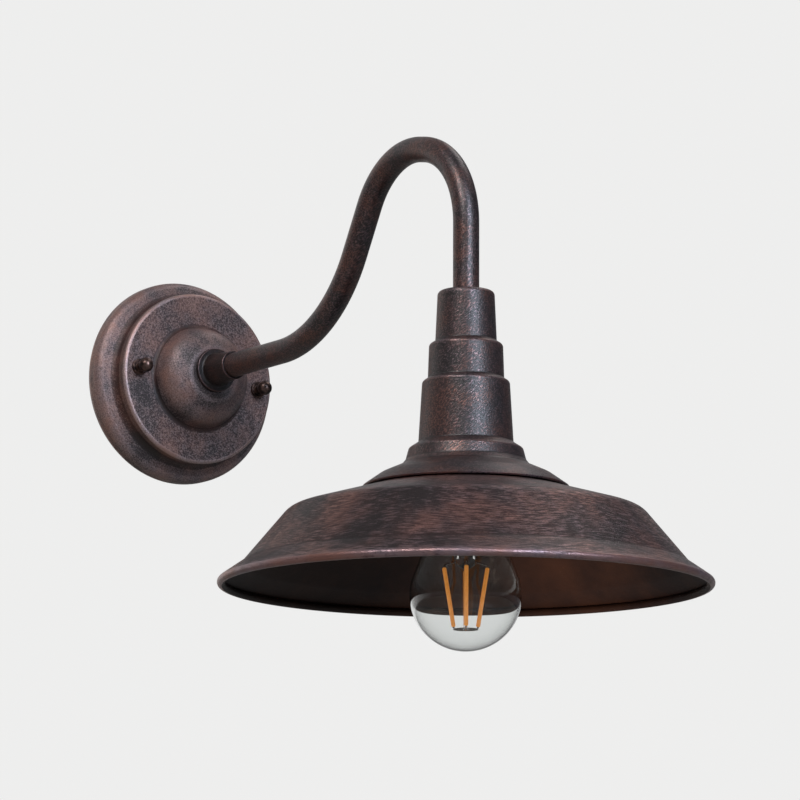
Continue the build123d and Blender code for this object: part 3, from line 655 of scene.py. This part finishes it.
# ---- Ball nuts ----
# Two turned knobs with a ball head on a low collar, sprayed with copper and screwed by hand
# onto the canopy's M4 screws.
knob_copper = mottled("knob_copper", 320, 0.4, 0.65, (0.020, 0.013, 0.012), (0.15, 0.092, 0.076),
                      grain=(900, 0.0001, 0.4), roughness=0.34, metallic=0.75)
ball_r = 4.3
ball_height = 8.2
neck_r = 2.9
base_r = 4.8
base_height = 1.8
neck_height = 4.9
neck_angle = math.asin(neck_r / ball_r)
ball_steps = 18
for side in ("left", "right"):
    low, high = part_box(f"ball_nut_{side}")
    knob_rings = rounded([(screw_r + 0.2, 0, 0), (base_r, 0, 0.2), (base_r, base_height, 0.6),
                          (neck_r, base_height, 0.3), (neck_r, neck_height, 0)], margin=0.05)
    for index in range(ball_steps + 1):
        angle = neck_angle + (math.pi - neck_angle) * index / ball_steps
        knob_rings.append((ball_r * sin(angle), ball_height - ball_r * cos(angle)))
    knob_rings[-1] = (0, ball_height + ball_r)
    middle = (low + high) / 2
    knob = turned(f"ball_nut_{side}_turned", knob_rings, sides=48, lay=facing_room,
                  at=(middle.x, high.y, middle.z))
    placed(knob, knob_copper, f"nut_{side}", "copper_bronze", f"ball_nut_{side}")

# ---- Arm nipple, washer and locknut ----
# A length of M10 x 1 threaded steel tube joins the arm to the canopy, pulled tight from inside
# by a locknut on a washer. The wires run through it.
collar_low, collar_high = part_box("arm_collar")
arm_height = (collar_low.z + collar_high.z) / 2 / mm
on_arm = (0, 0, arm_height * mm)
nipple_r, nipple_root_r, nipple_bore_r = 5.0, 4.5, 3.75
nipple_pitch = 1.0


def capped():
    """Fills the open ends of the active piece."""
    edit_all()
    bpy.ops.mesh.region_to_loop()
    bpy.ops.mesh.edge_face_add()
    bpy.ops.object.mode_set(mode="OBJECT")


def nipple(name, near, far, lay=None, at=(0, 0, 0)):
    """A threaded tube from one distance to another along its axis. A known fault: the thread's ends
    aren't quite closed, so the boolean leaves the bore uncut or plugged, and not the same each run."""
    past = 1
    thread = threaded(f"{name}_thread", vee(nipple_r, nipple_root_r), nipple_pitch, near, far, sides=64, lay=lay,
                      at=at)
    bore = turned(f"{name}_bore", [(nipple_bore_r, near - past), (nipple_bore_r, far + past)], sides=64, lay=lay,
                  at=at)
    capped()
    cut = thread.modifiers.new("bore", "BOOLEAN")
    cut.operation = "DIFFERENCE"
    cut.object = bore
    bpy.context.view_layer.objects.active = thread
    bpy.ops.object.modifier_apply(modifier="bore")
    bpy.data.objects.remove(bore)
    thread.name = name
    return thread


nipple_low, nipple_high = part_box("arm_nipple")
arm_nipple = nipple("arm_nipple_threaded", -nipple_high.y / mm, -nipple_low.y / mm, lay=facing_room, at=on_arm)
placed(arm_nipple, zinc, "root", "zinc_steel", "arm_nipple")
dressed("arm_washer", 0.2, zinc, "root", "zinc_steel")
dressed("arm_locknut", 0.5, zinc, "root", "zinc_steel", segments=1)

# ---- Arm collar ----
# A turned steel collar with a flat flange against the dome and a tapered neck that ends in a
# small bead. The arm's tube stands in it.
collar_rust = rust_bronze("collar_rust", specks=1100, amount=0.12, patch=60, gloss=0.36, dim=0.45)
tube_r = 7.0
tube_seat_r = tube_r + 0.05
nipple_seat_r = nipple_r + 0.05
collar_floor = 4.0
bead_width = 1.6
collar_end = -collar_low.y / mm
flange_front = dome_front + 2.4
flange_r = collar_high.x / mm
collar_outline = [
    (nipple_seat_r, dome_front, 0), (flange_r, dome_front, 0.2), (flange_r, flange_front, 0.5),
    (9.6, flange_front, 1.2), (8.1, collar_end - bead_width, 0.1), (8.4, collar_end - bead_width, 0.3),
    (8.4, collar_end, 0.4), (tube_seat_r, collar_end, 0), (tube_seat_r, dome_front + collar_floor, 0),
    (nipple_seat_r, dome_front + collar_floor, 0), (nipple_seat_r, dome_front, 0),
]
collar_rings = rounded(collar_outline, margin=0.05)
collar = turned("arm_collar_turned", collar_rings, sides=96, lay=facing_room, at=on_arm, closed=True)
placed(collar, collar_rust, "root", "rust_bronze", "arm_collar")

# ---- Gooseneck tube ----
# One length of 14 mm steel tube, bent three times in one plane: up from the wall, over the top
# and down into the cup. It is extruded along its straights and spun round its bends.
arm_rust = rust_bronze("arm_rust", specks=1100, amount=0.22, patch=70, gloss=0.36, dim=0.65, sheen=0.65,
                       scratches=0.7, contrast=1.9)
tube_wall = 1.95
projection = 300
tube_start = Vector((0, -(dome_front + collar_floor), arm_height)) * mm
cup_top = 6.0
bends = ((60, 85), (-72, 46), (-78, 49))  # turn upwards in degrees and centre-line radius
rise, fall = radians(bends[0][0]), radians(-bends[0][0] - bends[1][0])
legs = [math.tan(radians(abs(turn)) / 2) * radius for turn, radius in bends]
riser, bridge = 29.7, 4.0
slope = legs[0] + riser + legs[1]
crest = legs[1] + bridge + legs[2]
foot_run = projection - slope * cos(rise) - crest * cos(fall) - legs[0] + tube_start.y / mm
drop = arm_height + slope * sin(rise) - crest * sin(fall) - legs[2] - cup_top
straights = (foot_run, riser, bridge, drop)

bpy.ops.object.select_all(action="DESELECT")
bpy.ops.mesh.primitive_circle_add(vertices=64, radius=tube_r * mm, location=tube_start, rotation=facing_room)
tube = bpy.context.object
tube.name = "gooseneck_bent_tube"
bpy.ops.object.transform_apply(location=True, rotation=True, scale=True)
edit_all()
heading = 0.0
tip = tube_start.copy()
for index, straight in enumerate(straights):
    ahead = Vector((0, -cos(heading), sin(heading)))
    for _ in range(3):
        bpy.ops.mesh.extrude_region_move(TRANSFORM_OT_translate={"value": ahead * straight * mm / 3})
    tip += ahead * straight * mm
    if index < len(bends):
        turn, radius = radians(bends[index][0]), bends[index][1] * mm
        side = Vector((0, sin(heading), cos(heading))) * math.copysign(1, turn)
        pivot = tip + side * radius
        bpy.ops.mesh.spin(steps=36, angle=turn, center=pivot, axis=(1, 0, 0))
        arm = tip - pivot
        arm.rotate(Matrix.Rotation(-turn, 3, "X"))
        tip = pivot + arm
        heading += turn
bpy.ops.mesh.select_all(action="SELECT")
bpy.ops.mesh.remove_doubles(threshold=0.000001)
bpy.ops.mesh.normals_make_consistent(inside=False)
bpy.ops.object.mode_set(mode="OBJECT")
walled(tube, tube_wall)
bpy.ops.object.shade_smooth_by_angle(angle=smooth_angle)
placed(tube, arm_rust, "root", "rust_bronze", "gooseneck_tube")

# ---- Cup nipple, washer and locknut ----
# The same threaded steel tube, longer, hangs the cup and the lampholder from the arm's end.
# A washer and a locknut hold the cup.
over_lamp = (0, -projection * mm, 0)
nipple_low, nipple_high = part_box("cup_nipple")
cup_nipple = nipple("cup_nipple_threaded", nipple_low.z / mm, nipple_high.z / mm, at=over_lamp)
placed(cup_nipple, zinc, "root", "zinc_steel", "cup_nipple")
dressed("cup_washer", 0.2, zinc, "root", "zinc_steel")
dressed("cup_locknut", 0.5, zinc, "root", "zinc_steel", segments=1)

# ---- Lampholder cup ----
# A spun steel cup in three tiers that widens into a bead and a shallow flare over the shade.
# It hides the lampholder, and the arm's end is locked in its top.
cup_rust = rust_bronze("cup_rust", specks=1100, amount=0.20, patch=60, gloss=0.40, dim=0.65, centre=over_lamp,
                       sheen=0.7, scratches=0.8, contrast=1.9)
cup_wall = 1.2
cup_outline = [
    (5.25, cup_top, 0),
    (15.1, cup_top, 2.5),
    (16.3, -21.0, 1.2),  # first step
    (19.6, -23.1, 2.2),
    (20.2, -41.0, 1.2),  # second step
    (23.2, -43.1, 2.2),
    (25.1, -75.4, 1.2),  # third step
    (30.2, -78.7, 2.2),  # bead
    (31.8, -84.8, 2.0),
    (34.0, -87.6, 3.0),  # flare
    (45.0, -92.4, 12.0),
    (54.4, -99.0, 0),
]
cup = turned("socket_cup_spun", rounded(cup_outline), sides=160, wall=cup_wall, at=over_lamp)
placed(cup, cup_rust, "root", "rust_bronze", "socket_cup")

# ---- Lampholder ----
# An E27 lampholder of black phenolic: a screwed cap, a threaded skirt whose flange carries the
# shade, and inside them a porcelain core with brass terminals, a spring contact and a screw shell.
phenolic = mottled("black_phenolic", 180, 0.35, 0.65, (0.014, 0.012, 0.011), (0.030, 0.026, 0.023),
                   grain=(900, 0.00005, 0.5), roughness=0.32, specular=0.45)
porcelain = mottled("glazed_porcelain", 140, 0.35, 0.65, (0.80, 0.78, 0.72), (0.72, 0.69, 0.62),
                    grain=(0, 0.0001, 0.3), roughness=0.16)
dressed("holder_cap", 0.4, phenolic, "root", "black_phenolic")
skirt_low, skirt_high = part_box("holder_skirt")
holder_thread_r, holder_bore_r, holder_root_r = 19.75, 17.1, 18.95
holder_pitch = 2.5
neck_r, neck_foot = 17.9, -73.1  # the narrow top that the cap screws over
flange_r, flange_height = 25.0, 2.5
ledge_r, ledge_top, ledge_foot = 15.2, -80.6, -82.1
shade_seat = -94.0
barrel_top, barrel_end = skirt_high.z / mm, skirt_low.z / mm
barrel_outline = [
    (holder_bore_r, barrel_top, 0), (neck_r, barrel_top, 0.2), (neck_r, neck_foot, 0),
    (holder_thread_r, neck_foot, 0.2), (holder_thread_r, shade_seat + flange_height, 0),
    (flange_r, shade_seat + flange_height, 0.5), (flange_r, shade_seat, 0.3), (holder_root_r, shade_seat, 0),
    (holder_root_r, barrel_end, 0.4), (holder_bore_r, barrel_end, 0.4), (holder_bore_r, ledge_foot, 0),
    (ledge_r, ledge_foot, 0), (ledge_r, ledge_top, 0), (holder_bore_r, ledge_top, 0),
    (holder_bore_r, barrel_top, 0),
]
barrel = turned("holder_barrel", rounded(barrel_outline, margin=0.05), sides=96, at=over_lamp, closed=True)
barrel_thread = threaded("holder_thread", vee(holder_thread_r, holder_root_r - 0.05), holder_pitch,
                         barrel_end + 0.8, shade_seat, sides=96, filled=False, at=over_lamp)
placed(joined("holder_skirt_threaded", barrel, barrel_thread), phenolic, "root", "black_phenolic", "holder_skirt")
dressed("holder_core", 0.3, porcelain, "root", "porcelain")
dressed("holder_terminals", 0.2, brass, "root", "brass")
dressed("centre_contact", 0.1, brass, "root", "brass", segments=1)

lamp_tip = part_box("bulb_tip")[1].z / mm
lamp_pitch = 3.629
cap_crest, cap_root = 13.05, 12.15


def round_thread(crest, root):
    """One pitch of a lamp cap's round thread, as radii and shares of the pitch."""
    middle, swing = (crest + root) / 2, (crest - root) / 2
    return [(middle - swing * cos(math.tau * index / 12), index / 12) for index in range(13)]


shell_low, shell_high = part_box("screw_shell")
shell_crest, shell_root = 13.65, 12.75
shell_wall = 0.3
shell_top = shell_high.z / mm
shell = threaded("screw_shell_rolled", round_thread(shell_crest, shell_root), lamp_pitch, shell_low.z / mm,
                 shell_top - 0.5, sides=72, filled=False, at=over_lamp)
walled(shell, shell_wall)
rim_r, rim_bore_r, rim_top, rim_foot = 13.2, 10.5, shell_top - 0.05, shell_top - 0.4
shell_rim = turned("screw_shell_rim", [(rim_bore_r, rim_foot), (rim_r, rim_foot), (rim_r, rim_top),
                                       (rim_bore_r, rim_top), (rim_bore_r, rim_foot)],
                   sides=72, at=over_lamp, closed=True)
placed(joined("screw_shell_formed", shell, shell_rim), brass, "root", "brass", "screw_shell")

# ---- Shade ----
# A spun steel dish, 260 mm across: a shallow top, a steep skirt and a flared rim whose edge is rolled into a bead.
# Its inside has the same spray, thinner and more matt, and is not brushed. The inward half of the bead also gets the
# inside paint, as painted shade along the far lip.
skirt_amount, bead_amount = 0.30, 0.58
shade_rust = rust_bronze("shade_rust", specks=1100, amount=skirt_amount, patch=30, gloss=0.38, dim=0.95,
                         centre=over_lamp, sheen=0.3, strokes=0.75, turns=17)
nodes, links = shade_rust.node_tree.nodes, shade_rust.node_tree.links
place = nodes.new("ShaderNodeTexCoord").outputs["Object"]
clusters = noise(nodes, links, place, 26, detail=3)
links.new(spread(nodes, links, clusters, 0.42, 0.60, 0.60, 1.25), nodes["wear"].inputs["Contrast"])
shade_low, shade_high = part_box("shade")
height = nodes.new("ShaderNodeSeparateXYZ")
links.new(place, height.inputs[0])
links.new(spread(nodes, links, height.outputs["Z"], shade_low.z + 3.5 * mm, shade_low.z + 6.5 * mm,
                 bead_amount, skirt_amount), nodes["wear"].inputs["Amount"])
shade_inside = mottled("shade_inside", 14, 0.40, 0.66, (0.013, 0.0075, 0.007), (0.042, 0.020, 0.013), detail=4,
                       rough=0.6, grain=(700, 0.0003, 0.4), roughness=0.58, metallic=0.1, specular=0.25)
shade_wall = 0.9
bead_r = 2.2
bead = Vector((shade_high.x / mm - bead_r, shade_low.z / mm + bead_r))
skirt = Vector((117.2, -140.4))
reach = (bead - skirt).length
lean = math.atan2(bead.y - skirt.y, bead.x - skirt.x) + math.asin(bead_r / reach)
touch = bead + Vector((-sin(lean), cos(lean))) * bead_r
shade_outline = [
    (20.0, shade_seat, 0),
    (29.5, shade_seat, 4.0),
    (93.5, -112.0, 11.0),
    (skirt.x, skirt.y, 6.0),
    (touch.x, touch.y, 0),
]
shade_rings = rounded(shade_outline)
roll_turn = radians(292)
roll_start = math.atan2(touch.y - bead.y, touch.x - bead.x)
roll_steps = 36
for index in range(1, roll_steps + 1):
    angle = roll_start - roll_turn * index / roll_steps
    shade_rings.append(bead + Vector((cos(angle), sin(angle))) * bead_r)
shade = turned("shade_spun", shade_rings, sides=256, wall=shade_wall, at=over_lamp)
placed(shade, shade_rust, "root", "rust_bronze_shade", "shade")
shade.data.materials.append(shade_inside)
# Inside faces and the inward half of the rolled bead take the dark matt inside paint. On the bead it is painted
# shade.
for face in shade.data.polygons:
    out = Vector((face.center.x, face.center.y + projection * mm))
    faces_down = out.length < (bead.x - bead_r) * mm and face.normal.z < -0.05
    if faces_down or face.normal.xy.dot(out.normalized()) < -0.2:
        face.material_index = 1

# ---- Shade ring ----
# A moulded ring nut with eighteen finger grooves runs on the lampholder's thread and clamps the
# shade from inside.
dressed("shade_ring", 0.25, phenolic, "root", "black_phenolic", segments=1)

# ---- Lamp ----
# A filament lamp: a clear pear-shaped glass cemented into a threaded cap, with a glass stem
# that carries four amber filaments. It unscrews downwards from the lampholder.
glass_low, glass_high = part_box("bulb_glass")
glass_r = glass_high.x / mm
ball_z = glass_low.z / mm + glass_r
cap_length = 26.5
cap_end = lamp_tip - cap_length


def glassy(name, wave, depth):
    """Clear blown glass with a faint waviness."""
    material, nodes, links, shader = finish(name, roughness=0.0)
    shader.inputs["Base Color"].default_value = (0.90, 0.915, 0.91, 1)
    shader.inputs["Transmission Weight"].default_value = 1.0
    shader.inputs["IOR"].default_value = 1.45
    place = nodes.new("ShaderNodeTexCoord").outputs["Object"]
    bumped(nodes, links, shader, noise(nodes, links, place, wave, detail=1), depth, strength=0.15)
    return material


clear_glass = glassy("lamp_glass", 28, 0.0004)
neck_r = 12.3
neck = Vector((neck_r + 0.35, cap_end - 1.5))
throat = neck + Vector((2.0, -6.0))  # where the neck starts to spread
to_throat = throat - Vector((0, ball_z))
bearing = math.atan2(to_throat.y, to_throat.x) - math.acos(glass_r / to_throat.length)
meet = Vector((cos(bearing), sin(bearing))) * glass_r + Vector((0, ball_z))
glass_rings = rounded([(neck_r, glass_high.z / mm, 0), (neck.x, neck.y, 20), (throat.x, throat.y, 25),
                       (meet.x, meet.y, 0)], step=radians(3), margin=0.1)
ball_steps = 48
for index in range(1, ball_steps + 1):
    angle = bearing - (bearing + math.pi / 2) * index / ball_steps
    glass_rings.append(Vector((cos(angle), sin(angle))) * glass_r + Vector((0, ball_z)))
glass_rings[-1] = (0, ball_z - glass_r)
glass = turned("lamp_glass_blown", glass_rings, sides=128, wall=0.8, at=over_lamp)
placed(glass, clear_glass, "bulb", "clear_glass", "bulb_glass")

lamp_metal = plated("lamp_cap_metal", (0.66, 0.64, 0.60), (0.50, 0.48, 0.45), scale=220, roughness=0.28)
shoulder_r, shoulder_top, shoulder_foot = 12.7, lamp_tip - 6.3, lamp_tip - 7.6
cup_r, cup_low_r, cap_top = 10.3, 9.6, lamp_tip - 4.55  # the small cup that holds the black glass
rim_bore_r, rim_top, rim_foot = 11.7, lamp_tip - 22.0, lamp_tip - 23.0
cap_sheet = 0.3
cap_thread = threaded("cap_thread", round_thread(cap_crest, cap_root), lamp_pitch, rim_top - 0.2,
                      shoulder_foot + 0.2, sides=72, filled=False, at=over_lamp)
shoulder_outline = [
    (cup_low_r, cap_top, 0), (cup_r, cap_top, 0.1), (shoulder_r, shoulder_top, 0.8),
    (shoulder_r, shoulder_foot, 0), (cup_low_r, shoulder_foot, 0), (cup_low_r, cap_top, 0),
]
cap_shoulder = turned("cap_shoulder", rounded(shoulder_outline, margin=0.05), sides=72, at=over_lamp, closed=True)
rim_outline = [
    (rim_bore_r, rim_top, 0), (cap_crest, rim_top, 0.3), (cap_crest, cap_end, 0.1),
    (cap_crest - cap_sheet, cap_end, 0), (cap_crest - cap_sheet, rim_foot, 0), (rim_bore_r, rim_foot, 0),
    (rim_bore_r, rim_top, 0),
]
cap_rim = turned("cap_rim", rounded(rim_outline, margin=0.05), sides=72, at=over_lamp, closed=True)
lamp_cap = joined("lamp_cap_rolled", cap_thread, cap_shoulder, cap_rim)
placed(lamp_cap, lamp_metal, "bulb", "lamp_cap_metal", "bulb_cap")

vitrite = mottled("black_cap_glass", 500, 0.4, 0.6, (0.010, 0.010, 0.014), (0.022, 0.022, 0.028), detail=2.0,
                  roughness=0.12)
dressed("bulb_insulator", 0.15, vitrite, "bulb", "black_glass")
solder = plated("solder", (0.62, 0.62, 0.63), (0.42, 0.42, 0.44), scale=700, roughness=0.36)
dressed("bulb_tip", 0.1, solder, "bulb", "solder")

stem_glass = glassy("stem_glass", 120, 0.0003)
stem_low, stem_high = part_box("bulb_stem")
stem_top, stem_foot = stem_high.z / mm, stem_low.z / mm
filament_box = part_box("filaments")
filament_high, filament_low = filament_box[1].z / mm, filament_box[0].z / mm
stem_bead = filament_high + 2.4  # the glass ball that the upper wires come out of
stem_r, stem_bead_r, rod_r = 4.2, 5.1, 1.1
stem_outline = [
    (0.6, stem_top, 0), (11.3, stem_top, 0.2), (11.3, stem_top - 1.0, 0.3), (stem_r, stem_top - 13, 6.0),
    (stem_r, stem_bead + 5.5, 1.5), (stem_bead_r, stem_bead + 1.4, 1.0), (stem_bead_r, stem_bead - 1.4, 1.0),
    (rod_r, stem_bead - 4.0, 1.0), (rod_r, stem_foot + 0.4, 0), (0.5, stem_foot, 0),
]
stem = turned("lamp_stem_pressed", rounded(stem_outline, margin=0.1), sides=64, at=over_lamp)
capped()
edit_all()
bpy.ops.mesh.normals_make_consistent(inside=False)
bpy.ops.object.mode_set(mode="OBJECT")
placed(stem, stem_glass, "bulb", "clear_glass", "bulb_stem")

# ---- Filaments ----
# Four sticks of amber phosphor on thin carriers, with bright metal tabs at their ends, hang
# from nickel arms in the stem's bead and lean in to a wire ring at the foot of the stem.
amber = mottled("amber_phosphor", 700, 0.35, 0.65, (0.84, 0.33, 0.07), (0.74, 0.25, 0.045), roughness=0.42)
shader = amber.node_tree.nodes["Principled BSDF"]
# The filaments are not lit. Their faint emission is a painted glow that stands in for light reaching them through
# the glass.
shader.inputs["Emission Color"].default_value = (0.9, 0.34, 0.07, 1)
shader.inputs["Emission Strength"].default_value = 0.35
nickel = plated("nickel_wire", (0.40, 0.38, 0.35), (0.24, 0.22, 0.20), scale=900, roughness=0.26)
filament_count = 4
filament_r = 1.1
filament_top_r = 11.4
filament_foot_r = 6.3
filament_turn = -34.0
tab_r, tab_length, tab_inset = 0.5, 2.2, 0.6
stick_trim = 0.4
lean_out = filament_top_r - filament_foot_r
upright = filament_high - filament_low - 0.35
filament_span = math.hypot(lean_out, upright)
filament_lean = math.atan2(lean_out, upright)
sticks, tabs = [], []
for index in range(filament_count):
    bearing = radians(filament_turn + index * 360 / filament_count)
    middle = Vector((cos(bearing), sin(bearing), 0)) * (filament_top_r + filament_foot_r) / 2
    middle += Vector((0, -projection, (filament_high + filament_low) / 2))
    lay = Matrix.Rotation(bearing, 4, "Z") @ Matrix.Rotation(filament_lean, 4, "Y")
    for kind, radius, length, shift in (("stick", filament_r, filament_span - stick_trim, 0.0),
                                        ("upper_tab", tab_r, tab_length, filament_span / 2 - tab_inset),
                                        ("lower_tab", tab_r, tab_length, -filament_span / 2 + tab_inset)):
        bpy.ops.object.select_all(action="DESELECT")
        bpy.ops.mesh.primitive_cylinder_add(vertices=24, radius=radius * mm, depth=length * mm)
        piece = bpy.context.object
        round_end = piece.modifiers.new("round", "BEVEL")
        round_end.width = radius * 0.7 * mm
        round_end.segments = 4
        round_end.angle_limit = radians(40)
        bpy.ops.object.modifier_apply(modifier="round")
        spot = middle * mm + (lay @ Vector((0, 0, shift * mm)))
        piece.data.transform(Matrix.Translation(spot) @ lay)
        bpy.ops.object.shade_smooth_by_angle(angle=smooth_angle)
        (sticks if kind == "stick" else tabs).append(piece)
placed(joined("filament_sticks", *sticks), amber, "bulb", "amber_filament", "filaments")
placed(joined("filament_tabs", *tabs), nickel, "bulb", "nickel_wire")
dressed("filament_wires", 0.03, nickel, "bulb", "nickel_wire", segments=1)

# ---- Terminal block and wiring ----
# A nylon block on the bracket's tongue joins the supply to three thin wires, live, neutral and
# earth, that run through the arm to the lampholder. A short lead bonds the bracket.
nylon = mottled("grey_nylon", 300, 0.35, 0.65, (0.66, 0.66, 0.64), (0.58, 0.58, 0.57),
                grain=(1200, 0.00005, 0.5), roughness=0.45)
dressed("terminal_block", 0.4, nylon, "root", "grey_nylon")
dressed("block_screw", 0.2, zinc, "root", "zinc_steel")


def sleeving(name, light, dark):
    """Extruded plastic insulation with a faintly uneven surface."""
    return mottled(name, 600, 0.35, 0.65, light, dark, detail=2, grain=(0, 0.00003, 0.4), roughness=0.38)


painted(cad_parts["live_wire"], sleeving("brown_sleeving", (0.13, 0.05, 0.025), (0.09, 0.035, 0.018)))
painted(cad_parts["neutral_wire"], sleeving("blue_sleeving", (0.03, 0.12, 0.42), (0.02, 0.09, 0.34)))
green_sleeving = sleeving("green_sleeving", (0.10, 0.34, 0.05), (0.30, 0.42, 0.03))
painted(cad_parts["earth_wire"], green_sleeving)
painted(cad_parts["earth_link"], green_sleeving)
